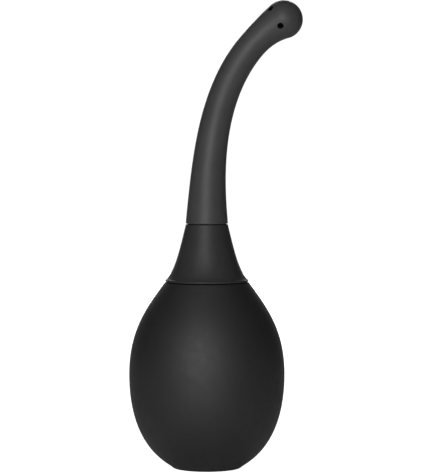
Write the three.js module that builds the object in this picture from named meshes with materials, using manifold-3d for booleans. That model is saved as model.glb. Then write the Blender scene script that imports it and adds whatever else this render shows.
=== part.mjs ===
// Hand bulb irrigator: a soft squeeze bulb, a screw-on trumpet collar and a curved spray nozzle.
// Millimetres, +Z up. The origin is the centre of the flat base that the bulb stands on,
// and the nozzle curls towards +X.

import * as THREE from 'three';
import { mergeVertices } from 'three/addons/utils/BufferGeometryUtils.js';
import Module from 'manifold-3d';

// ---------------------------------------------------------------- driving dimensions

const bulbRadius = 41.1;
const bulbHeight = 98.2;
const equatorHeight = 49.7;
const baseRadius = 17.8;
const bulbWall = 2.5;
const bulbFloor = 3.5;
const bulbRim = 3.05;

const collarHeight = 30.3;
const collarLipSetback = 0.15;
const collarStep = 0.15;
const skirtLength = 12;
const skirtRadius = 12.7;
const skirtWall = 2.3;
const throatRadius = 5.5;
const throatShelf = 2.5;
const beadRadius = 0.65;

const bushWall = 2.5;
const bushOverhang = 2;
const bushFlangeWidth = 2.5;
const bushFlangeThickness = 1.4;
const bushRibHeight = 1.1;

const nozzleLength = 120.3;
const nozzleSkin = 1.8;
const nozzleTubeRadius = 7.6;
const nozzleBendDegrees = 61.3;
const nozzleLand = 2.4;
const ballRadius = 10.15;
const ballNeckRadius = 79;
const nozzleBoreRadius = 4;
const ballCavityRadius = 5.6;
const sprayHoleRadius = 1.5;
const sprayHoles = 5;
const sprayFirstDegrees = 32;
const sprayRingSetback = 3.4;

const spigotRadius = 6.8;
const spigotLength = 11.4;
const insertFlangeLip = 0.2;
const insertFlangeThickness = 2;
const insertStemRadius = 6.3;
const insertStemLength = 14;
const insertRibHeight = 1.2;

const collarPitch = 4;
const nozzlePitch = 3;
const collarRidge = 1;
const nozzleRidge = 0.8;
const collarRingSection = 1.2;
const nozzleRingSection = 1;

// ---------------------------------------------------------------- clearances

const seamGap = 0.4;
const nozzleSeamGap = 0.3;
const fitGap = 0.15;
const ringGap = 0.1;
const collarThreadGap = 0.3;
const nozzleThreadGap = 0.25;

// ---------------------------------------------------------------- curve shapes

const footRun = 1.8;
const footRise = 2.4;
const lowerFullness = 0.808;
const upperFullness = 0.5;
const domeFullness = 0.66;
const domeSpread = 0.55;
const shoulderRun = 8.6;
const shoulderRise = 12;
const trumpetTopHandle = [3, 12.5];
const trumpetLipHandle = [4.65, 4.4];
const bendPower = 2.42;
const steadyBendShare = 0.224;
const taperPower = 3.3;

// ---------------------------------------------------------------- detail of the facets

const bodySides = 32;
const nozzleSides = 24;
const threadStepsPerTurn = 24;
const threadSides = 6;
const ringSides = 8;
const holeSides = 8;

// ---------------------------------------------------------------- levels worked out from the sizes

const collarBottom = bulbHeight + seamGap;
const collarTop = collarBottom + collarHeight;
const skirtBottom = collarBottom - skirtLength;
const collarRing = seal(skirtRadius, collarRingSection, collarBottom);

const bushBore = skirtRadius + collarRidge + collarThreadGap;
const bushRadius = bushBore + bushWall;
const bushTop = bulbHeight - seamGap;
const bushBottom = skirtBottom - bushOverhang;
const bushFlangeRadius = bushRadius + bushFlangeWidth;
const bushFlangeBottom = bushTop - bushFlangeThickness;
const bulbTopRadius = bushFlangeRadius + fitGap + bulbRim;
const collarLipRadius = bulbTopRadius - collarLipSetback;

const skirtThread = span(skirtBottom, collarRing.seat - 1, collarRidge);
const bushThread = span(bushBottom, collarRing.seat, collarRidge);

const nozzleBottom = collarTop + nozzleSeamGap;
const flangeBottom = nozzleBottom + fitGap;
const flangeTop = flangeBottom + insertFlangeThickness;
const stemTop = flangeTop + insertStemLength;
const spigotBottom = flangeBottom - spigotLength;
const nozzleRing = seal(spigotRadius, nozzleRingSection, flangeBottom);
const insertFlangeRadius = nozzleRing.bore + insertFlangeLip;
const nozzleRootRadius = insertFlangeRadius + nozzleSkin;
const collarTopRadius = nozzleRootRadius + collarStep;

const socketRadius = spigotRadius + nozzleRidge + nozzleThreadGap;
const socketFloor = spigotBottom - 1;
const spigotThread = span(spigotBottom, nozzleRing.seat - 0.5, nozzleRidge);
const socketThread = span(socketFloor + 0.5, nozzleRing.seat, nozzleRidge);

// A rubber ring round a shaft, just under the face that presses on it, and the seat that holds it.
function seal(shaftRadius, section, pressedBy) {
  const z = pressedBy - ringGap - section;
  const radius = shaftRadius + ringGap + section;
  return { radius, z, section, seat: z - section - ringGap, bore: radius + section + ringGap };
}

// The heights between which a rounded ridge runs, clear of both ends.
function span(bottom, top, ridge) {
  return { bottom: bottom + ridge + 0.3, top: top - ridge };
}

// ---------------------------------------------------------------- geometry helpers

const wasm = await Module();
wasm.setup();

const point = (r, z) => new THREE.Vector2(r, z);

// Points of a cubic curve through a half section, without its first point.
function curve(from, handleA, handleB, to, steps) {
  const cubic = new THREE.CubicBezierCurve(point(...from), point(...handleA), point(...handleB), point(...to));
  return cubic.getPoints(steps).slice(1);
}

// Points of an arc in a half section; angles in degrees from the outward direction.
function arc(centreR, centreZ, radius, fromDegrees, toDegrees, steps) {
  return Array.from({ length: steps + 1 }, (_, i) => {
    const angle = THREE.MathUtils.degToRad(fromDegrees + ((toDegrees - fromDegrees) * i) / steps);
    return point(centreR + radius * Math.cos(angle), centreZ + radius * Math.sin(angle));
  });
}

// Moves the points of an upward half section inwards by a wall thickness.
function inset(points, wall) {
  return points.map((p, i) => {
    const before = points[Math.max(i - 1, 0)];
    const after = points[Math.min(i + 1, points.length - 1)];
    const along = after.clone().sub(before).normalize();
    return point(p.x - along.y * wall, p.y + along.x * wall);
  });
}

// A turned solid about +Z from half-section points that run upwards on the outside.
function turned(points, sides) {
  const lathe = new THREE.LatheGeometry(points, sides);
  return lathe.rotateX(Math.PI / 2);
}

function ringGeometry({ radius, section, z }, sides) {
  return new THREE.TorusGeometry(radius, section, ringSides, sides).translate(0, 0, z);
}

class Helix extends THREE.Curve {
  constructor(radius, pitch, bottom, turns, startTurn) {
    super();
    Object.assign(this, { radius, pitch, bottom, turns, startTurn });
  }
  getPoint(t, target = new THREE.Vector3()) {
    const angle = 2 * Math.PI * (this.startTurn + t * this.turns);
    const z = this.bottom + t * this.turns * this.pitch;
    return target.set(this.radius * Math.cos(angle), this.radius * Math.sin(angle), z);
  }
}

// A rounded thread ridge: a round bar swept up a right-hand helix. The helix, or its continuation,
// crosses the +X side at the given height, so a ridge and its groove are set half a pitch apart.
function threadRidge(radius, section, pitch, { bottom, top }, crossing) {
  const turns = (top - bottom) / pitch;
  const startTurn = (bottom - crossing) / pitch;
  const bar = new THREE.Shape(arc(0, 0, section, 0, 360 - 360 / threadSides, threadSides - 1));
  return new THREE.ExtrudeGeometry(bar, {
    steps: Math.round(turns * threadStepsPerTurn),
    extrudePath: new Helix(radius, pitch, bottom, turns, startTurn),
    bevelEnabled: false,
  });
}

// A closed geometry as a solid that can be joined and cut.
function solid(geometry) {
  const bare = geometry.clone();
  bare.deleteAttribute('normal');
  bare.deleteAttribute('uv');
  const merged = mergeVertices(bare, 1e-4);
  const index = merged.index.array;
  const triVerts = [];
  for (let i = 0; i < index.length; i += 3) {
    const [a, b, c] = index.slice(i, i + 3);
    if (a !== b && b !== c && c !== a) triVerts.push(a, b, c);
  }
  return new wasm.Manifold(new wasm.Mesh({
    numProp: 3,
    vertProperties: new Float32Array(merged.attributes.position.array),
    triVerts: new Uint32Array(triVerts),
  }));
}

function geometryOf(manifold) {
  const mesh = manifold.getMesh();
  const geometry = new THREE.BufferGeometry();
  geometry.setAttribute('position', new THREE.BufferAttribute(mesh.vertProperties, 3));
  geometry.setIndex(new THREE.BufferAttribute(mesh.triVerts, 1));
  geometry.computeVertexNormals();
  return geometry;
}

// ---------------------------------------------------------------- bulb

// Two raised ribs on an upward outline, spread over the length from bottom to top.
function ribs(radius, height, bottom, top, grow) {
  const pitch = (top - bottom) / 3;
  const half = pitch * 0.2;
  return [1, 2].flatMap((k) => {
    const z = bottom + k * pitch;
    return [
      point(radius + grow, z - 2 * half - grow),
      point(radius + height + grow, z - half - grow),
      point(radius + height + grow, z + half + grow),
      point(radius + grow, z + 2 * half + grow),
    ];
  });
}

// Outside of the bush that the bulb's neck holds, grown by a gap where it is the neck's own wall.
function bushOutline(grow) {
  return [
    ...ribs(bushRadius, bushRibHeight, bushBottom, bushFlangeBottom, grow),
    point(bushRadius + grow, bushFlangeBottom - grow),
    point(bushFlangeRadius + grow, bushFlangeBottom - grow),
  ];
}

function bulbOutline() {
  const lower = curve(
    [baseRadius, 0],
    [baseRadius + footRun, footRise],
    [bulbRadius, equatorHeight * (1 - lowerFullness)],
    [bulbRadius, equatorHeight],
    9,
  );
  const upper = curve(
    [bulbRadius, equatorHeight],
    [bulbRadius, equatorHeight + (bulbHeight - equatorHeight) * upperFullness],
    [bulbTopRadius + shoulderRun, bulbHeight - shoulderRise],
    [bulbTopRadius, bulbHeight],
    8,
  );
  return { lower: [point(baseRadius, 0), ...lower], upper };
}

function makeBulb() {
  const { lower, upper } = bulbOutline();
  const belly = inset(lower, bulbWall).filter((p) => p.y > bulbFloor + 1);
  const cavityTop = bushBottom - fitGap;
  const cavityRadius = bulbRadius - bulbWall;
  const dome = curve(
    [cavityRadius, equatorHeight],
    [cavityRadius, equatorHeight + (cavityTop - equatorHeight) * domeFullness],
    [(cavityRadius + bushRadius) * domeSpread, cavityTop],
    [bushRadius + fitGap, cavityTop],
    6,
  );
  const neck = bushOutline(fitGap);
  const inside = [
    point(0, bulbFloor),
    point(belly[0].x - 1, bulbFloor),
    ...belly.slice(0, -1),
    point(cavityRadius, equatorHeight),
    ...dome,
    ...neck,
    point(bushFlangeRadius + fitGap, bulbHeight),
  ];
  return turned([point(0, 0), ...lower, ...upper, ...inside.reverse()], bodySides);
}

// ---------------------------------------------------------------- bush in the bulb's neck

function makeNeckBush() {
  const body = turned([
    point(bushBore, bushBottom),
    point(bushRadius, bushBottom),
    ...bushOutline(0),
    point(bushFlangeRadius, bushTop),
    point(collarRing.bore, bushTop),
    point(collarRing.bore, collarRing.seat),
    point(bushBore, collarRing.seat),
    point(bushBore, bushBottom),
  ], bodySides);
  const crossing = skirtThread.bottom + collarPitch / 2;
  const ridge = threadRidge(bushBore, collarRidge, collarPitch, bushThread, crossing);
  return geometryOf(solid(body).add(solid(ridge)));
}

// ---------------------------------------------------------------- collar

function makeCollar() {
  const edge = 0.35;
  const beadZ = collarBottom + beadRadius;
  const beadCentre = collarLipRadius - beadRadius;
  const skirtBore = skirtRadius - skirtWall;
  const trumpet = curve(
    [beadCentre, beadZ + beadRadius],
    [beadCentre - trumpetLipHandle[0], beadZ + beadRadius + trumpetLipHandle[1]],
    [collarTopRadius + trumpetTopHandle[0], collarTop - trumpetTopHandle[1]],
    [collarTopRadius, collarTop - edge],
    9,
  );
  const body = turned([
    point(skirtBore, skirtBottom),
    point(skirtRadius, skirtBottom),
    point(skirtRadius, collarBottom),
    ...arc(beadCentre, beadZ, beadRadius, -90, 90, 4),
    ...trumpet,
    point(collarTopRadius - edge, collarTop),
    point(nozzleRing.bore, collarTop),
    point(nozzleRing.bore, nozzleRing.seat),
    point(socketRadius, nozzleRing.seat),
    point(socketRadius, socketFloor),
    point(throatRadius, socketFloor),
    point(throatRadius, socketFloor - throatShelf),
    point(skirtBore, collarBottom + 2),
    point(skirtBore, skirtBottom),
  ], bodySides);
  const skirtRidge = threadRidge(
    skirtRadius, collarRidge, collarPitch, skirtThread, skirtThread.bottom,
  );
  const socketRidge = threadRidge(
    socketRadius, nozzleRidge, nozzlePitch, socketThread, spigotThread.bottom + nozzlePitch / 2,
  );
  return geometryOf(solid(body).add(solid(skirtRidge)).add(solid(socketRidge)));
}

// ---------------------------------------------------------------- nozzle insert

// Outside of the flange and ribbed stem that the soft nozzle is moulded over.
function stemOutline(grow) {
  return [
    point(insertFlangeRadius + grow, flangeTop + grow),
    point(insertStemRadius + grow, flangeTop + grow),
    ...ribs(insertStemRadius, insertRibHeight, flangeTop, stemTop, grow),
    point(insertStemRadius + grow, stemTop + grow),
  ];
}

function makeNozzleInsert() {
  const body = turned([
    point(nozzleBoreRadius, spigotBottom),
    point(spigotRadius, spigotBottom),
    point(spigotRadius, flangeBottom),
    point(insertFlangeRadius, flangeBottom),
    ...stemOutline(0),
    point(nozzleBoreRadius, stemTop),
    point(nozzleBoreRadius, spigotBottom),
  ], nozzleSides);
  const ridge = threadRidge(
    spigotRadius, nozzleRidge, nozzlePitch, spigotThread, spigotThread.bottom,
  );
  return geometryOf(solid(body).add(solid(ridge)));
}

// ---------------------------------------------------------------- nozzle

// How far the centreline has turned from upright at a distance along it.
function bendAngle(along) {
  const share = THREE.MathUtils.clamp(along / nozzleLength, 0, 1);
  const curl = steadyBendShare * share + (1 - steadyBendShare) * share ** bendPower;
  return THREE.MathUtils.degToRad(nozzleBendDegrees) * curl;
}

// The centreline, as points a small step apart: it is upright at the seam and ends beyond the ball.
const centreStep = 0.5;
const centreline = [new THREE.Vector3(0, 0, nozzleBottom)];
while (centreline.length * centreStep < nozzleLength + 2 * ballRadius) {
  const angle = bendAngle((centreline.length - 0.5) * centreStep);
  const step = new THREE.Vector3(Math.sin(angle), 0, Math.cos(angle)).multiplyScalar(centreStep);
  centreline.push(centreline.at(-1).clone().add(step));
}

function centreAt(along) {
  const place = Math.max(along, 0) / centreStep;
  const i = Math.floor(place);
  return centreline[i].clone().lerp(centreline[i + 1], place - i);
}

// Bends a straight piece, whose z is the distance along the centreline, onto the centreline.
function bent(geometry) {
  const position = geometry.attributes.position;
  for (let i = 0; i < position.count; i += 1) {
    const angle = bendAngle(position.getZ(i));
    const centre = centreAt(position.getZ(i));
    const out = position.getX(i);
    position.setX(i, centre.x + out * Math.cos(angle));
    position.setZ(i, centre.z - out * Math.sin(angle));
  }
  return geometry;
}

// Outer radius of the tapering tube before the ball swells out of it.
function tubeRadius(along) {
  const share = THREE.MathUtils.clamp((along - nozzleLand) / (nozzleLength - nozzleLand), 0, 1);
  return nozzleTubeRadius + (nozzleRootRadius - nozzleTubeRadius) * (1 - share) ** taperPower;
}

// The ball's neck is a hollow arc that touches the tube and the ball.
const neckStart = Math.sqrt((ballRadius + ballNeckRadius) ** 2 - (nozzleTubeRadius + ballNeckRadius) ** 2);
const neckEnd = (neckStart * ballRadius) / (ballRadius + ballNeckRadius);

function neckRadius(along) {
  const beyond = along - (nozzleLength - neckStart);
  const swell = ballNeckRadius - Math.sqrt(ballNeckRadius ** 2 - beyond ** 2);
  return tubeRadius(along) + swell;
}

function nozzleOutline() {
  const edge = 0.6;
  const tubeSteps = 12;
  const neckSteps = 5;
  const start = edge + 1;
  const tubeEnd = nozzleLength - neckStart;
  const outline = arc(nozzleRootRadius - edge, edge, edge, -90, 0, 3);
  for (let i = 0; i <= tubeSteps; i += 1) {
    const along = start + ((tubeEnd - start) * i) / tubeSteps;
    outline.push(point(tubeRadius(along), along));
  }
  for (let i = 1; i < neckSteps; i += 1) {
    const along = tubeEnd + ((neckStart - neckEnd) * i) / neckSteps;
    outline.push(point(neckRadius(along), along));
  }
  const ballStart = THREE.MathUtils.radToDeg(-Math.asin(neckEnd / ballRadius));
  return [point(0, 0), ...outline, ...arc(0, nozzleLength, ballRadius, ballStart, 90, 7)];
}

function boreOutline() {
  const start = stemTop - nozzleBottom;
  const cavityStart = nozzleLength - Math.sqrt(ballCavityRadius ** 2 - nozzleBoreRadius ** 2);
  const steps = 8;
  const bore = [point(0, start), point(nozzleBoreRadius, start)];
  for (let i = 1; i < steps; i += 1) {
    bore.push(point(nozzleBoreRadius, start + ((cavityStart - start) * i) / steps));
  }
  const cavityAngle = THREE.MathUtils.radToDeg(-Math.acos(nozzleBoreRadius / ballCavityRadius));
  return [...bore, ...arc(0, nozzleLength, ballCavityRadius, cavityAngle, 90, 4)];
}

// A straight hole from the ball's hollow out through its wall, square to the ball's surface.
function sprayHole(index) {
  const turn = THREE.MathUtils.degToRad(sprayFirstDegrees + (index * 360) / sprayHoles);
  const tilt = Math.asin(sprayRingSetback / ballRadius);
  const length = ballRadius + 2;
  const angle = bendAngle(nozzleLength);
  return new THREE.CylinderGeometry(sprayHoleRadius, sprayHoleRadius, length, holeSides)
    .translate(0, length / 2, 0)
    .rotateZ(Math.PI / 2)
    .rotateY(-tilt)
    .rotateZ(turn)
    .rotateY(angle)
    .translate(...centreAt(nozzleLength).toArray());
}

function makeNozzle() {
  const outside = solid(bent(turned(nozzleOutline(), nozzleSides)));
  const bore = solid(bent(turned(boreOutline(), nozzleSides)));
  const socket = solid(turned([
    point(0, nozzleBottom - 1),
    point(insertFlangeRadius + fitGap, nozzleBottom - 1),
    ...stemOutline(fitGap),
    point(0, stemTop + fitGap),
  ], nozzleSides));
  let nozzle = outside.subtract(bore).subtract(socket);
  for (let i = 0; i < sprayHoles; i += 1) {
    nozzle = nozzle.subtract(solid(sprayHole(i)));
  }
  return geometryOf(nozzle);
}

// ---------------------------------------------------------------- assembly

const silicone = new THREE.MeshStandardMaterial({ color: 0x1b1b1c, roughness: 0.62, metalness: 0 });
const hardPlastic = new THREE.MeshStandardMaterial({ color: 0x202021, roughness: 0.5, metalness: 0 });
const innerPlastic = new THREE.MeshStandardMaterial({ color: 0x2a2a2b, roughness: 0.45, metalness: 0 });
const sealRubber = new THREE.MeshStandardMaterial({ color: 0x141414, roughness: 0.7, metalness: 0 });

function piece(name, geometry, material) {
  const mesh = new THREE.Mesh(geometry, material);
  mesh.name = name;
  return mesh;
}

const irrigator = new THREE.Group();
irrigator.add(
  piece('bulb', makeBulb(), silicone),
  piece('neck_bush', makeNeckBush(), innerPlastic),
  piece('collar_gasket', ringGeometry(collarRing, bodySides), sealRubber),
  piece('collar', makeCollar(), hardPlastic),
  piece('nozzle_o_ring', ringGeometry(nozzleRing, nozzleSides), sealRubber),
  piece('nozzle_insert', makeNozzleInsert(), innerPlastic),
  piece('nozzle', makeNozzle(), silicone),
);

export default irrigator;
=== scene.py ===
"""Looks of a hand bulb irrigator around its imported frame: a soft bulb, a trumpet collar, a curved nozzle.

Metres, +Z up. The origin is the centre of the bulb's flat base, and the nozzle curls towards +X.
"""

import cmath
import math

import bpy
import numpy as np
from mathutils import Matrix, Vector


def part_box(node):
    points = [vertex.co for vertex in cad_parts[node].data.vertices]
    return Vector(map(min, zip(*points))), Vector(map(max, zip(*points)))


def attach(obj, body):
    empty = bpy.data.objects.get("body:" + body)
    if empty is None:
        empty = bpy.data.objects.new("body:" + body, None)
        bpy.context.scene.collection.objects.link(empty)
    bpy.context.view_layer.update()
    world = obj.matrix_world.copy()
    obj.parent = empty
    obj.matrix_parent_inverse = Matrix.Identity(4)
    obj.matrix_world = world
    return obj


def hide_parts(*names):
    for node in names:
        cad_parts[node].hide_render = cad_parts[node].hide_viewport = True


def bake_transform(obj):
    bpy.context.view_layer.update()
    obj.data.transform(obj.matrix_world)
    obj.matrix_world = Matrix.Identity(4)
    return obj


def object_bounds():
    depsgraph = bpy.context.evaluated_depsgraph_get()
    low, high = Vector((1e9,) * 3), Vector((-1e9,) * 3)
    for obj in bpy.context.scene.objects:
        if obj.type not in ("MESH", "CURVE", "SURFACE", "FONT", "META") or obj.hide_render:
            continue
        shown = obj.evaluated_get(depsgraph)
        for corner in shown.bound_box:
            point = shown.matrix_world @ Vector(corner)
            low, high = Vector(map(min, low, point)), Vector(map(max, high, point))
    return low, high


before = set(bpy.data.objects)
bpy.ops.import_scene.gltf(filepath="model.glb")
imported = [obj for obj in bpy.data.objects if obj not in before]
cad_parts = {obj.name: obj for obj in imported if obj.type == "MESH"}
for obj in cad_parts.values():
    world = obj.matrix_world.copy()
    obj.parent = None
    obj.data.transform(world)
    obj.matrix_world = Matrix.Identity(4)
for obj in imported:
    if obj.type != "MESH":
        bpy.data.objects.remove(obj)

cad_low, cad_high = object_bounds()

# ---------------------------------------------------------------- sizes that the frame gives

bulb_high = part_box("bulb")[1]
bush_low, bush_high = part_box("neck_bush")
gasket_low, gasket_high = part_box("collar_gasket")
collar_low, collar_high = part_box("collar")
o_ring_low, o_ring_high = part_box("nozzle_o_ring")
insert_low, insert_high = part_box("nozzle_insert")
nozzle_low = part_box("nozzle")[0]

# ---------------------------------------------------------------- sizes of the design

base_radius = 0.0178
equator_height = 0.0497
bulb_wall = 0.0025
bulb_floor = 0.0035
floor_corner = 0.001
foot_handle = (0.0018, 0.0024)
foot_rounding = 0.0015
lower_fullness = 0.808
upper_fullness = 0.5
shoulder_handle = (0.0086, 0.012)
dome_fullness = 0.66
dome_spread = 0.55

bush_flange_width = 0.0025
bush_flange_thickness = 0.0014
bush_wall = 0.0025
bush_rib_height = 0.0011

seam_gap = 0.0004
collar_lip_setback = 0.00015
skirt_radius = 0.0127
skirt_wall = 0.0023
skirt_ceiling = 0.002
throat_radius = 0.0055
throat_shelf = 0.0025
socket_relief = 0.001
bead_radius = 0.00065
collar_top_step = 0.00015
collar_top_edge = 0.00035
trumpet_top_handle = (0.003, 0.0125)
trumpet_lip_handle = (0.00465, 0.0044)

nozzle_length = 0.1203
nozzle_tube_radius = 0.0076
nozzle_land = 0.0024
nozzle_bend = math.radians(61.3)
steady_bend_share = 0.224
bend_power = 2.42
taper_power = 3.3
foot_edge = 0.0006
foot_swell = 0.00013
foot_swell_start = 1.3 * foot_edge
foot_height = 0.0022
foot_face_inset = 0.001
ball_radius = 0.01015
ball_neck_radius = 0.079
ball_cavity_radius = 0.0056
bore_radius = 0.004
spray_holes = 5
spray_hole_radius = 0.0015
spray_rim = 0.00012
spray_rim_sink = 0.00003
drill_reach_inside = 0.0012
drill_reach_outside = 0.001
drill_taper = 0.0001
spray_first_turn = math.radians(32)
spray_ring_setback = 0.0034

spigot_radius = 0.0068
stem_radius = 0.0063
stem_rib_height = 0.0012
insert_flange_thickness = 0.002

collar_pitch = 0.004
collar_ridge = 0.001
nozzle_pitch = 0.003
nozzle_ridge = 0.0008
nozzle_thread_gap = 0.00025
plain_start = 0.0003
plain_socket_start = 0.0008
plain_skirt_end = 0.001
plain_spigot_end = 0.0005

fit_gap = 0.00015
ring_gap = 0.0001

# radii that round the corners of a seat, an edge, the end of a tube and the throat
seat_corner = 0.0002
edge_corner = 0.0003
end_corner = 0.0004
throat_corner = 0.001

# ---------------------------------------------------------------- sizes worked out from those

bulb_radius = bulb_high.x
bulb_height = bulb_high.z
bush_flange_radius = bush_high.x
bush_radius = bush_flange_radius - bush_flange_width
bush_bore = bush_radius - bush_wall
bush_flange_bottom = bush_high.z - bush_flange_thickness
bulb_top_radius = collar_high.x + collar_lip_setback
collar_bottom = bulb_height + seam_gap
nozzle_bottom = nozzle_low.z
nozzle_root_radius = -nozzle_low.x
collar_top_radius = nozzle_root_radius + collar_top_step
insert_flange_radius = insert_high.x
flange_bottom = nozzle_bottom + fit_gap
flange_top = flange_bottom + insert_flange_thickness
stem_top = insert_high.z
socket_radius = spigot_radius + nozzle_ridge + nozzle_thread_gap
socket_floor = insert_low.z - socket_relief
skirt_thread_bottom = collar_low.z + collar_ridge + plain_start
spigot_thread_bottom = insert_low.z + nozzle_ridge + plain_start


class Seal:
    """A rubber ring, and the seat that holds it."""

    def __init__(self, low, high):
        self.section = (high.z - low.z) / 2
        self.radius = high.x - self.section
        self.z = (high.z + low.z) / 2
        self.seat = low.z - ring_gap
        self.bore = high.x + ring_gap


collar_seal = Seal(gasket_low, gasket_high)
nozzle_seal = Seal(o_ring_low, o_ring_high)

# ---------------------------------------------------------------- fineness of the meshes

segments = 144
thread_row = 0.0002
corner_steps = 5
curve_steps = 48
dome_steps = 24
ring_steps = 24
bead_steps = 16
foot_edge_steps = 10
foot_rows_above_edge = 8
tube_rows = 90
neck_rows = 24
ball_steps = 60
bore_rows = 40
rim_steps = 6
sharp_angle = math.radians(38)

# the share of a line that the rounding of a corner may take, alone and where both ends are rounded
lone_share = 0.95
common_share = 0.49


# ---------------------------------------------------------------- half sections
#
# A half section is a list of rows (radius, height). A third value is the radius that rounds a corner, or the
# thread that stands out of that row. Rows run up the outside of a piece and down its inside.


def cubic(start, handle_a, handle_b, end, steps):
    """Rows of a cubic curve, without its first point."""
    corners = np.array([start, handle_a, handle_b, end])
    rows = []
    for t in np.linspace(0, 1, steps + 1)[1:]:
        s = 1 - t
        weights = np.array([s**3, 3 * s * s * t, 3 * s * t * t, t**3])
        rows.append(tuple(weights @ corners))
    return rows


def arc(centre_radius, centre_z, radius, start, end, steps):
    """Rows of an arc; angles in degrees from the outward direction."""
    rows = []
    for angle in np.radians(np.linspace(start, end, steps + 1)):
        rows.append((centre_radius + radius * math.cos(angle), centre_z + radius * math.sin(angle)))
    return rows


def inset(rows, wall):
    """Rows that run upwards, moved inwards by a wall thickness."""
    points = np.array(rows)
    along = np.gradient(points, axis=0)
    along /= np.linalg.norm(along, axis=1)[:, None]
    return [tuple(p) for p in points + wall * np.column_stack([-along[:, 1], along[:, 0]])]


def corner_radius(row):
    return row[2] if len(row) > 2 and not callable(row[2]) else 0


def rounded(rows):
    """The rows with an arc in place of each corner that has a radius. The first row follows the last."""
    made = []
    for before, here, after in zip(rows[-1:] + rows, rows, rows[1:] + rows[:1]):
        radius = corner_radius(here)
        if radius == 0:
            made.append(here)
            continue
        corner = complex(here[0], here[1])
        sides = []
        room = math.inf
        for other in (before, after):
            side = complex(other[0], other[1]) - corner
            room = min(room, abs(side) * (common_share if corner_radius(other) else lone_share))
            sides.append(side / abs(side))
        half = abs(cmath.phase(sides[1] / sides[0])) / 2
        reach = min(radius / math.tan(half), room)
        middle = (sides[0] + sides[1]) / abs(sides[0] + sides[1]) * reach / math.cos(half)
        spoke = sides[0] * reach - middle
        sweep = cmath.phase((sides[1] * reach - middle) / spoke)
        for step in range(corner_steps + 1):
            place = corner + middle + spoke * cmath.exp(1j * sweep * step / corner_steps)
            made.append((place.real, place.imag))
    return made


def ribs(radius, height, bottom, top, grow):
    """Two raised ribs on an upward outline, spread over the length from bottom to top."""
    pitch = (top - bottom) / 3
    crest_share = 0.2
    half = pitch * crest_share
    rows = []
    for z in (bottom + pitch, bottom + 2 * pitch):
        rows += [
            (radius + grow, z - 2 * half - grow, edge_corner),
            (radius + height + grow, z - half - grow, edge_corner),
            (radius + height + grow, z + half + grow, edge_corner),
            (radius + grow, z + 2 * half + grow, edge_corner),
        ]
    return rows


def thread(pitch, ridge, crossing, bottom, top, side):
    """A rounded right-hand ridge on a wall, which stands outwards where side is 1 and inwards where it is -1.

    It crosses the +X direction at the crossing height, and fades out at the bottom and the top.
    """
    half_width_share = 1.15
    half_width = half_width_share * ridge
    run_out = pitch / 8

    def stands_out(z, angles):
        turns = angles / (2 * math.pi)
        nearest = crossing + pitch * (turns + np.round((z - crossing) / pitch - turns))
        across = np.clip(np.abs(z - nearest) / half_width, 0, 1)
        along = np.clip(np.minimum(nearest - bottom, top - nearest) / run_out, 0, 1)
        return side * ridge * np.cos(across * math.pi / 2) * along

    return stands_out


def threaded_wall(radius, pitch, ridge, crossing, bottom, top, side):
    """Rows of a wall with a thread between two heights, upwards on the outside and downwards in a bore."""
    ridge_on = thread(pitch, ridge, crossing, bottom, top, side)
    heights = np.arange(bottom - ridge, top + ridge - thread_row / 2, thread_row)
    return [(radius, z, ridge_on) for z in heights[::side]]


# ---------------------------------------------------------------- meshes


def turned(name, rows, warp=None):
    """A closed smooth mesh turned about +Z from a half section.

    warp(ring, row number), where there is one, moves each ring of it.
    """
    angles = np.linspace(0, 2 * math.pi, segments, endpoint=False)
    vertices, rings = [], []
    for number, row in enumerate(rows):
        radius, z = row[:2]
        ring = np.array([[0.0, 0.0, z]])
        if radius > 0:
            radii = np.full(segments, radius)
            if len(row) > 2:
                radii = radii + row[2](z, angles)
            ring = np.column_stack([radii * np.cos(angles), radii * np.sin(angles), np.full(segments, z)])
        if warp:
            ring = warp(ring, number)
        ids = np.arange(len(vertices), len(vertices) + len(ring))
        rings.append(np.resize(ids, segments))
        vertices.extend(ring.tolist())
    on_axis = rows[0][0] == 0
    following = rings[1:] if on_axis else rings[1:] + rings[:1]
    faces = []
    for ring, after in zip(rings, following):
        for j in range(segments):
            k = (j + 1) % segments
            corners = dict.fromkeys([ring[j], ring[k], after[k], after[j]])
            faces.append([int(corner) for corner in corners])
    mesh = bpy.data.meshes.new(name)
    mesh.from_pydata(vertices, [], faces)
    mesh.shade_smooth()
    mesh.set_sharp_from_angle(angle=sharp_angle)
    piece = bpy.data.objects.new(name, mesh)
    bpy.context.scene.collection.objects.link(piece)
    return piece


def cut(piece, tools):
    """Cuts the tools out of the piece for good, and each cut takes its tool's material."""
    for tool in tools:
        modifier = piece.modifiers.new("cut", "BOOLEAN")
        modifier.operation = "DIFFERENCE"
        modifier.solver = "EXACT"
        modifier.material_mode = "TRANSFER"
        modifier.object = tool
    bpy.context.view_layer.update()
    seen = piece.evaluated_get(bpy.context.evaluated_depsgraph_get())
    piece.data = bpy.data.meshes.new_from_object(seen)
    piece.modifiers.clear()
    for tool in tools:
        bpy.data.objects.remove(tool)
    piece.data.shade_smooth()
    piece.data.set_sharp_from_angle(angle=sharp_angle)


# ---------------------------------------------------------------- bulb


def bush_outline(grow):
    """Outside of the bush that the bulb's neck holds, grown by a gap where it is the neck's own wall."""
    return [
        *ribs(bush_radius, bush_rib_height, bush_low.z, bush_flange_bottom, grow),
        (bush_radius + grow, bush_flange_bottom - grow, seat_corner),
        (bush_flange_radius + grow, bush_flange_bottom - grow, seat_corner),
    ]


def bulb_lower_wall():
    """The bulb's outside from its base to its widest place."""
    return cubic(
        (base_radius, 0),
        (base_radius + foot_handle[0], foot_handle[1]),
        (bulb_radius, equator_height * (1 - lower_fullness)),
        (bulb_radius, equator_height),
        curve_steps,
    )


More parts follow.
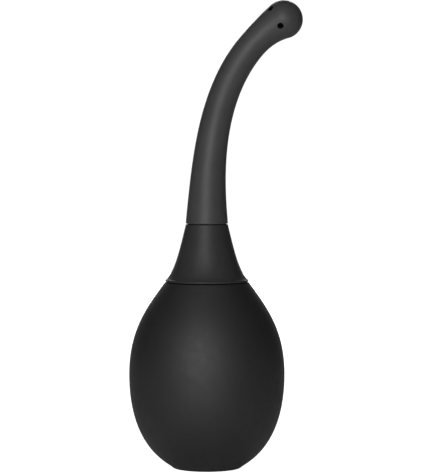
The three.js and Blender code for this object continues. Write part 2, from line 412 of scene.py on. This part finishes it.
def bulb_upper_wall():
    """The bulb's outside from its widest place to its rim."""
    above = bulb_height - equator_height
    return cubic(
        (bulb_radius, equator_height),
        (bulb_radius, equator_height + above * upper_fullness),
        (bulb_top_radius + shoulder_handle[0], bulb_height - shoulder_handle[1]),
        (bulb_top_radius, bulb_height),
        curve_steps,
    )


def bulb_cavity(lower):
    """The bulb's inside, upwards, with the pocket that holds the bush."""
    cavity_top = bush_low.z - fit_gap
    cavity_radius = bulb_radius - bulb_wall
    dome = cubic(
        (cavity_radius, equator_height),
        (cavity_radius, equator_height + (cavity_top - equator_height) * dome_fullness),
        ((cavity_radius + bush_radius) * dome_spread, cavity_top),
        (bush_radius + fit_gap, cavity_top),
        dome_steps,
    )
    belly = [row for row in inset(lower, bulb_wall) if row[1] > bulb_floor + floor_corner]
    return [
        (0, bulb_floor),
        (belly[0][0] - floor_corner, bulb_floor),
        *belly[:-1],
        (cavity_radius, equator_height),
        *dome,
        *bush_outline(fit_gap),
        (bush_flange_radius + fit_gap, bulb_height, edge_corner),
    ]


def make_bulb():
    lower = bulb_lower_wall()
    base_edge = (base_radius, 0, foot_rounding)
    rim_edge = (bulb_top_radius, bulb_height, end_corner)
    side = [row for row in lower if row[1] > foot_rounding / 2] + bulb_upper_wall()[:-2]
    outside = [(0, 0), (base_radius - foot_rounding, 0), base_edge, *side, rim_edge]
    return turned("bulb_skin", rounded(outside + bulb_cavity(lower)[::-1]))


# ---------------------------------------------------------------- bush in the bulb's neck


def make_neck_bush():
    bore = threaded_wall(
        bush_bore,
        collar_pitch,
        collar_ridge,
        crossing=skirt_thread_bottom + collar_pitch / 2,
        bottom=bush_low.z + collar_ridge + plain_start,
        top=collar_seal.seat - collar_ridge,
        side=-1,
    )
    return turned("neck_bush_moulded", rounded([
        (bush_bore, bush_low.z),
        (bush_radius, bush_low.z, end_corner),
        *bush_outline(0),
        (bush_flange_radius, bush_high.z, edge_corner),
        (collar_seal.bore, bush_high.z, seat_corner),
        (collar_seal.bore, collar_seal.seat),
        (bush_bore, collar_seal.seat, seat_corner),
        *bore,
    ]))


# ---------------------------------------------------------------- collar


def collar_trumpet():
    """The collar's outside, upwards from its lip: a fine bead, then a long hollow curve."""
    bead_centre = collar_high.x - bead_radius
    bead_z = collar_bottom + bead_radius
    bead_top = bead_z + bead_radius
    top = collar_high.z
    curve = cubic(
        (bead_centre, bead_top),
        (bead_centre - trumpet_lip_handle[0], bead_top + trumpet_lip_handle[1]),
        (collar_top_radius + trumpet_top_handle[0], top - trumpet_top_handle[1]),
        (collar_top_radius, top - collar_top_edge),
        curve_steps,
    )
    bead = arc(bead_centre, bead_z, bead_radius, -90, 90, bead_steps)
    return [*bead, *curve[:-1], (collar_top_radius, top, collar_top_edge)]


def make_collar():
    skirt_bore = skirt_radius - skirt_wall
    skirt = threaded_wall(
        skirt_radius,
        collar_pitch,
        collar_ridge,
        crossing=skirt_thread_bottom,
        bottom=skirt_thread_bottom,
        top=collar_seal.seat - plain_skirt_end - collar_ridge,
        side=1,
    )
    socket = threaded_wall(
        socket_radius,
        nozzle_pitch,
        nozzle_ridge,
        crossing=spigot_thread_bottom + nozzle_pitch / 2,
        bottom=socket_floor + plain_socket_start + nozzle_ridge,
        top=nozzle_seal.seat - nozzle_ridge,
        side=-1,
    )
    return turned("collar_moulded", rounded([
        (skirt_bore, collar_low.z),
        (skirt_radius, collar_low.z, edge_corner),
        *skirt,
        (skirt_radius, collar_bottom, edge_corner),
        *collar_trumpet(),
        (nozzle_seal.bore, collar_high.z, seat_corner),
        (nozzle_seal.bore, nozzle_seal.seat),
        (socket_radius, nozzle_seal.seat, seat_corner),
        *socket,
        (socket_radius, socket_floor, seat_corner),
        (throat_radius, socket_floor, end_corner),
        (throat_radius, socket_floor - throat_shelf, throat_corner),
        (skirt_bore, collar_bottom + skirt_ceiling, throat_corner),
    ]))


# ---------------------------------------------------------------- nozzle insert


def stem_outline(grow):
    """Outside of the flange and ribbed stem that the soft nozzle is moulded over."""
    return [
        (insert_flange_radius + grow, flange_top + grow, edge_corner),
        (stem_radius + grow, flange_top + grow, seat_corner),
        *ribs(stem_radius, stem_rib_height, flange_top, stem_top, grow),
        (stem_radius + grow, stem_top + grow, end_corner),
    ]


def make_nozzle_insert():
    spigot = threaded_wall(
        spigot_radius,
        nozzle_pitch,
        nozzle_ridge,
        crossing=spigot_thread_bottom,
        bottom=spigot_thread_bottom,
        top=nozzle_seal.seat - plain_spigot_end - nozzle_ridge,
        side=1,
    )
    return turned("nozzle_insert_moulded", rounded([
        (bore_radius, insert_low.z),
        (spigot_radius, insert_low.z, edge_corner),
        *spigot,
        (spigot_radius, flange_bottom, seat_corner),
        (insert_flange_radius, flange_bottom, edge_corner),
        *stem_outline(0),
        (bore_radius, stem_top, end_corner),
    ]))


# ---------------------------------------------------------------- nozzle

centre_step = 0.0005
centre_places = np.arange(0, nozzle_length + 2 * ball_radius, centre_step)


def bend_angle(along):
    """How far the centreline has turned from upright at a distance along it."""
    share = np.clip(np.asarray(along) / nozzle_length, 0, 1)
    return nozzle_bend * (steady_bend_share * share + (1 - steady_bend_share) * share**bend_power)


step_angles = bend_angle(centre_places[:-1] + centre_step / 2)
centre_x = np.concatenate([[0], np.cumsum(np.sin(step_angles)) * centre_step])
centre_z = np.concatenate([[0], np.cumsum(np.cos(step_angles)) * centre_step]) + nozzle_bottom


def bent(points):
    """Straight points, whose height is the distance along the centreline, moved onto the centreline."""
    along = points[:, 2] - nozzle_bottom
    angle = bend_angle(along)
    x = np.interp(along, centre_places, centre_x) + points[:, 0] * np.cos(angle)
    z = np.interp(along, centre_places, centre_z) - points[:, 0] * np.sin(angle)
    return np.column_stack([x, points[:, 1], z])


def tube_radius(along):
    """Outer radius of the tapering tube before the ball swells out of it."""
    share = np.clip((along - nozzle_land) / (nozzle_length - nozzle_land), 0, 1)
    return nozzle_tube_radius + (nozzle_root_radius - nozzle_tube_radius) * (1 - share) ** taper_power


def foot_rows():
    """The nozzle's foot, which swells a little down to its rounded edge at the seam."""
    rows = arc(nozzle_root_radius + foot_swell - foot_edge, foot_edge, foot_edge, -90, 0, foot_edge_steps)
    for along in np.linspace(foot_swell_start, foot_height, foot_rows_above_edge):
        share = (foot_height - along) / (foot_height - foot_edge)
        rows.append((nozzle_root_radius + foot_swell * share**2, along))
    return rows


def neck_and_ball_rows():
    """The tube, the hollow arc that swells out of it, and the ball, upwards."""
    reach = ball_radius + ball_neck_radius
    swell_start = math.sqrt(reach**2 - (nozzle_tube_radius + ball_neck_radius) ** 2)
    swell_end = swell_start * ball_radius / reach
    ball_start = -math.degrees(math.asin(swell_end / ball_radius))
    rows = []
    for along in np.linspace(nozzle_land, nozzle_length - swell_start, tube_rows):
        rows.append((tube_radius(along), along))
    for beyond in np.linspace(0, swell_start - swell_end, neck_rows)[1:-1]:
        swell = ball_neck_radius - math.sqrt(ball_neck_radius**2 - beyond**2)
        along = nozzle_length - swell_start + beyond
        rows.append((tube_radius(along) + swell, along))
    rows += arc(0, nozzle_length, ball_radius, ball_start, 90, ball_steps)[:-1]
    rows.append((0, nozzle_length + ball_radius))
    return rows


def nozzle_outline():
    """The nozzle's outside, upwards from its seam, as if it were straight."""
    return [(r, z + nozzle_bottom) for r, z in foot_rows() + neck_and_ball_rows()]


def bore_outline():
    """The bore and the ball's hollow, downwards, as if they were straight."""
    cavity_start = -math.degrees(math.acos(bore_radius / ball_cavity_radius))
    rows = [(0, nozzle_length + ball_cavity_radius)]
    rows += arc(0, nozzle_length, ball_cavity_radius, 90, cavity_start, dome_steps)[1:]
    for along in np.linspace(rows[-1][1], stem_top - nozzle_bottom + 2 * fit_gap, bore_rows)[1:]:
        rows.append((bore_radius, along))
    return [(r, z + nozzle_bottom) for r, z in rows]


def spray_cutter(index):
    """A drill for one spray hole, with a flared end that rounds the hole's rim."""
    inner_end = ball_cavity_radius - drill_reach_inside
    outer_end = ball_radius + drill_reach_outside
    rim_radius = spray_hole_radius + spray_rim
    rim_z = math.sqrt(ball_radius**2 - rim_radius**2) - spray_rim_sink
    drill = turned("spray_cutter", [
        (0, inner_end),
        (spray_hole_radius, inner_end),
        *arc(rim_radius, rim_z - spray_rim, spray_rim, 180, 90, rim_steps),
        (rim_radius + drill_taper, outer_end),
        (0, outer_end),
    ])
    turn = spray_first_turn + index * 2 * math.pi / spray_holes
    tilt = math.asin(spray_ring_setback / ball_radius)
    level = -math.cos(tilt)
    out = Vector((level * math.cos(turn), level * math.sin(turn), -math.sin(tilt)))
    out.rotate(Matrix.Rotation(nozzle_bend, 3, "Y"))
    centre = bent(np.array([[0, 0, nozzle_bottom + nozzle_length]]))[0]
    drill.matrix_world = Matrix.Translation(centre) @ out.to_track_quat("Z", "Y").to_matrix().to_4x4()
    return drill


def make_nozzle(skin, hole_painted_shade):
    """The nozzle: its foot's socket stays straight, and all its other rows are bent."""
    bore = bore_outline()
    socket = rounded([
        bore[-1],
        *stem_outline(fit_gap)[::-1],
        (insert_flange_radius + fit_gap, nozzle_bottom, seat_corner),
        (nozzle_root_radius - foot_face_inset, nozzle_bottom),
    ])[1:-1]
    straight = range(len(bore), len(bore) + len(socket))
    rows = bore + socket + nozzle_outline()
    nozzle = turned("nozzle_skin", rows, lambda ring, number: ring if number in straight else bent(ring))
    nozzle.data.materials.append(skin)
    drills = [spray_cutter(index) for index in range(spray_holes)]
    # the spray holes' walls take a near-black material: painted shade, darker than the nozzle's own silicone,
    # so that the holes read dark
    for drill in drills:
        drill.data.materials.append(hole_painted_shade)
    cut(nozzle, drills)
    return nozzle


# ---------------------------------------------------------------- rubber rings


def make_ring(name, seal):
    return turned(name, arc(seal.radius, seal.z, seal.section, -180, 180, ring_steps)[:-1])


# ---------------------------------------------------------------- materials


class Nodes:
    """A material's node tree, with short ways to add and join nodes."""

    def __init__(self, name):
        self.material = bpy.data.materials.new(name)
        self.material.use_nodes = True
        self.tree = self.material.node_tree
        self.shader = self.tree.nodes["Principled BSDF"]
        self.place = self.add("ShaderNodeTexCoord").outputs["Object"]

    def add(self, kind, **settings):
        node = self.tree.nodes.new(kind)
        for name, value in settings.items():
            setattr(node, name, value)
        return node

    def join(self, output, target):
        self.tree.links.new(output, target)

    def noise(self, scale, detail, roughness=0.5):
        node = self.add("ShaderNodeTexNoise")
        self.join(self.place, node.inputs["Vector"])
        node.inputs["Scale"].default_value = scale
        node.inputs["Detail"].default_value = detail
        node.inputs["Roughness"].default_value = roughness
        return node.outputs["Fac"]

    def spread(self, value, from_low, from_high, to_low, to_high):
        """The value with one range stretched onto another, and clamped to it."""
        node = self.add("ShaderNodeMapRange")
        self.join(value, node.inputs["Value"])
        node.inputs["From Min"].default_value = from_low
        node.inputs["From Max"].default_value = from_high
        node.inputs["To Min"].default_value = to_low
        node.inputs["To Max"].default_value = to_high
        return node.outputs["Result"]

    def tint(self, value, dark, light):
        node = self.add("ShaderNodeMix", data_type="RGBA")
        self.join(value, node.inputs["Factor"])
        node.inputs[6].default_value = (*dark, 1)
        node.inputs[7].default_value = (*light, 1)
        return node.outputs[2]

    def bump(self, height, distance, strength, below=None):
        node = self.add("ShaderNodeBump")
        node.inputs["Distance"].default_value = distance
        node.inputs["Strength"].default_value = strength
        self.join(height, node.inputs["Height"])
        if below:
            self.join(below, node.inputs["Normal"])
        return node.outputs["Normal"]


# scales are in features per metre, and depths in metres
cloud_scale = 70
cloud_contrast = 0.08
patch_scale = 240
patch_contrast = 0.04
wave_scale = 160
wave_depth = 0.0001
grain_depth = 0.00002
noise_low, noise_high = 0.3, 0.7
blue_excess = 1.03


def moulded(name, shade, roughness, gloss, grain):
    """A moulded black surface: cloudy tint, patchy gloss, slight waviness and a fine grain.

    grain is the size of the grain in metres, and gloss is the shader's specular level.
    """
    nodes = Nodes(name)
    shader = nodes.shader
    colour = Vector((shade, shade, blue_excess * shade))
    clouds = nodes.spread(nodes.noise(cloud_scale, detail=4), noise_low, noise_high, 0, 1)
    patches = nodes.spread(
        nodes.noise(patch_scale, detail=5, roughness=0.6),
        noise_low,
        noise_high,
        roughness - patch_contrast,
        roughness + patch_contrast,
    )
    waves = nodes.bump(nodes.noise(wave_scale, detail=2), wave_depth, strength=0.08)
    grains = nodes.noise(1 / grain, detail=3, roughness=0.6)
    surface = nodes.bump(grains, grain_depth, strength=0.5, below=waves)
    tint = nodes.tint(clouds, colour * (1 - cloud_contrast), colour * (1 + cloud_contrast))
    nodes.join(tint, shader.inputs["Base Color"])
    nodes.join(patches, shader.inputs["Roughness"])
    nodes.join(surface, shader.inputs["Normal"])
    shader.inputs["Specular IOR Level"].default_value = gloss
    return nodes.material


def bulb_silicone():
    return moulded("bulb_silicone", shade=0.0145, roughness=0.6, gloss=0.54, grain=0.0003)


def nozzle_silicone():
    return moulded("nozzle_silicone", shade=0.055, roughness=0.48, gloss=0.27, grain=0.0003)


def collar_plastic():
    return moulded("collar_plastic", shade=0.032, roughness=0.5, gloss=0.28, grain=0.0004)


# Painted shade: a near-black material for the walls of the spray holes, which are the nozzle's own silicone
# in shade
def spray_hole_painted_shade():
    return moulded("spray_hole_painted_shade", shade=0.004, roughness=0.7, gloss=0.05, grain=0.0003)


def inner_plastic():
    return moulded("inner_plastic", shade=0.05, roughness=0.4, gloss=0.5, grain=0.0005)


def seal_rubber():
    return moulded("seal_rubber", shade=0.011, roughness=0.6, gloss=0.35, grain=0.00025)


# ---------------------------------------------------------------- the pieces on the frame


def dress(piece, node, material):
    """The piece stands for a CAD node, and takes the material unless it was made with its own."""
    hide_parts(node)
    if not piece.data.materials:
        piece.data.materials.append(material)


bulb = make_bulb()
dress(bulb, "bulb", bulb_silicone())
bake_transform(bulb)

plastic = inner_plastic()
rubber = seal_rubber()
skin = nozzle_silicone()
rigid = [
    (make_neck_bush(), "neck_bush", "neck", "inner_plastic", plastic),
    (make_ring("collar_gasket_rubber", collar_seal), "collar_gasket", "collar_seal", "seal_rubber", rubber),
    (make_collar(), "collar", "collar", "collar_plastic", collar_plastic()),
    (make_ring("nozzle_o_ring_rubber", nozzle_seal), "nozzle_o_ring", "nozzle_seal", "seal_rubber", rubber),
    (make_nozzle_insert(), "nozzle_insert", "nozzle", "inner_plastic", plastic),
    (make_nozzle(skin, spray_hole_painted_shade()), "nozzle", "nozzle", "nozzle_silicone", skin),
]
for piece, node, body, slot, material in rigid:
    dress(piece, node, material)
    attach(piece, body)

# ---------------------------------------------------------------- stage, light and camera

white = (1, 1, 1, 1)

floor_radius = 1.6
floor_sides = 64
floor_shade = 0.75
floor_glow = 0.03
floor_glow_for_camera = 1

room_brightness = 0.01
backdrop_brightness = 1.05

camera_place = Vector((0, -1.266, 0.185))
camera_target = Vector((0.0043, 0, 0.1224))
camera_lens = 182.9
camera_sensor = 36
camera_nearest = 0.05


def around(azimuth, elevation, distance, centre):
    """A place round a point: azimuth 0 is in front (-Y) and 90 on the right (+X), in degrees."""
    a = math.radians(azimuth)
    e = math.radians(elevation)
    return centre + distance * Vector((math.sin(a) * math.cos(e), -math.cos(a) * math.cos(e), math.sin(e)))


def aimed(name, data, place, target):
    item = bpy.data.objects.new(name, data)
    bpy.context.scene.collection.objects.link(item)
    item.location = place
    item.rotation_mode = "QUATERNION"
    item.rotation_quaternion = (target - place).to_track_quat("-Z", "Y")
    return item


def softbox(name, power, azimuth, elevation, distance, width, height):
    centre = (cad_low + cad_high) / 2
    light = bpy.data.lights.new(name, "AREA")
    light.shape = "RECTANGLE"
    light.size = width
    light.size_y = height
    light.energy = power
    aimed(name, light, around(azimuth, elevation, distance, centre), centre)


def make_floor():
    """A pale floor that the camera sees as an overexposed white sweep."""
    turns = np.linspace(0, 2 * math.pi, floor_sides, endpoint=False)
    corners = [(floor_radius * math.cos(a), floor_radius * math.sin(a), 0) for a in turns]
    mesh = bpy.data.meshes.new("floor")
    mesh.from_pydata(corners, [], [list(range(floor_sides))])
    floor = bpy.data.objects.new("floor", mesh)
    bpy.context.scene.collection.objects.link(floor)
    nodes = Nodes("floor")
    seen = nodes.add("ShaderNodeLightPath").outputs["Is Camera Ray"]
    glow = nodes.spread(seen, 0, 1, floor_glow, floor_glow_for_camera)
    nodes.join(glow, nodes.shader.inputs["Emission Strength"])
    nodes.shader.inputs["Emission Color"].default_value = white
    nodes.shader.inputs["Base Color"].default_value = (floor_shade, floor_shade, floor_shade, 1)
    nodes.shader.inputs["Roughness"].default_value = 0.9
    nodes.shader.inputs["Specular IOR Level"].default_value = 0
    floor.data.materials.append(nodes.material)


def make_surroundings():
    """A white backdrop for the camera, and a dim grey room for the object."""
    world = bpy.data.worlds.new("studio")
    bpy.context.scene.world = world
    world.use_nodes = True
    tree = world.node_tree
    room = tree.nodes["Background"]
    room.inputs["Color"].default_value = white
    room.inputs["Strength"].default_value = room_brightness
    backdrop = tree.nodes.new("ShaderNodeBackground")
    backdrop.inputs["Color"].default_value = white
    backdrop.inputs["Strength"].default_value = backdrop_brightness
    seen = tree.nodes.new("ShaderNodeLightPath")
    mix = tree.nodes.new("ShaderNodeMixShader")
    tree.links.new(seen.outputs["Is Camera Ray"], mix.inputs["Fac"])
    tree.links.new(room.outputs[0], mix.inputs[1])
    tree.links.new(backdrop.outputs[0], mix.inputs[2])
    tree.links.new(mix.outputs[0], tree.nodes["World Output"].inputs["Surface"])


def make_camera():
    data = bpy.data.cameras.new("camera")
    data.lens = camera_lens
    data.sensor_width = camera_sensor
    data.clip_start = camera_nearest
    bpy.context.scene.camera = aimed("camera", data, camera_place, camera_target)


make_floor()
make_surroundings()
softbox("key", power=17.6, azimuth=-10, elevation=11, distance=1.5, width=1.0, height=1.0)
softbox("rim_left", power=2.4, azimuth=-162, elevation=12, distance=1.8, width=0.9, height=1.6)
softbox("rim_right", power=1.8, azimuth=162, elevation=12, distance=1.8, width=0.9, height=1.6)
softbox("top_front", power=1.4, azimuth=-15, elevation=50, distance=1.5, width=0.8, height=0.8)
softbox("back", power=10, azimuth=180, elevation=18, distance=1.6, width=0.7, height=0.8)
make_camera()
bpy.context.scene.view_settings.view_transform = "Standard"
